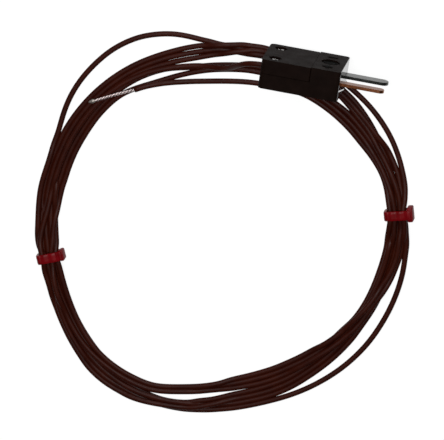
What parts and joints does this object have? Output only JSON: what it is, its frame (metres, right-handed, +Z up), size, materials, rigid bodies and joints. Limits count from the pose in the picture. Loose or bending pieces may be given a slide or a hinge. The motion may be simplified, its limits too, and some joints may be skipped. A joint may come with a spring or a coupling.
{
  "type": "thermocouple probe",
  "caption": "Thin twin thermocouple cable, coiled and tied, with a miniature flat-pin plug on one end and a bare welded junction on the other.",
  "frame": {"origin": "centre of the plug's mating face, between the two pins", "axes": "+X out of the mating face along the pins, +Y out of the wide face that holds the cover screws, +Z up from the surface that the coil lies on"},
  "size_m": [0.0948, 0.0993, 0.0184],
  "materials": {
    "plug_nylon": "black moulded nylon with a satin face",
    "copper_pin": "bare copper blade, brushed along its length",
    "silver_pin": "grey alloy blade, brushed along its length",
    "screw_steel": "bright plated steel",
    "washer_brass": "pressed plate",
    "grommet_rubber": "soft black rubber",
    "core_positive": "insulated core",
    "core_negative": "insulated core",
    "cable_jacket": "thin dark red-brown jacket over twin cores",
    "tie_nylon": "translucent red nylon",
    "bare_wire": "bright bare wire",
    "weld_metal": "dull welded bead"
  },
  "bodies": {
    "root": {"plug_base": "plug_nylon", "plug_cover": "plug_nylon", "pin_positive": "copper_pin", "pin_negative": "silver_pin", "cover_screw_upper": "screw_steel", "cover_screw_lower": "screw_steel", "terminal_screw_positive": "screw_steel", "terminal_screw_negative": "screw_steel", "clamp_washer_positive": "washer_brass", "clamp_washer_negative": "washer_brass", "cable_grommet": "grommet_rubber", "insulated_core_positive": "core_positive", "insulated_core_negative": "core_negative", "wire_end_positive": "bare_wire", "wire_end_negative": "bare_wire", "cable_lead": "cable_jacket", "cable_coil": "cable_jacket", "cable_tail": "cable_jacket", "cable_tie_left": "tie_nylon", "cable_tie_right": "tie_nylon", "bare_wire_positive": "bare_wire", "bare_wire_negative": "bare_wire", "weld_bead": "weld_metal"}
  },
  "joints": []
}
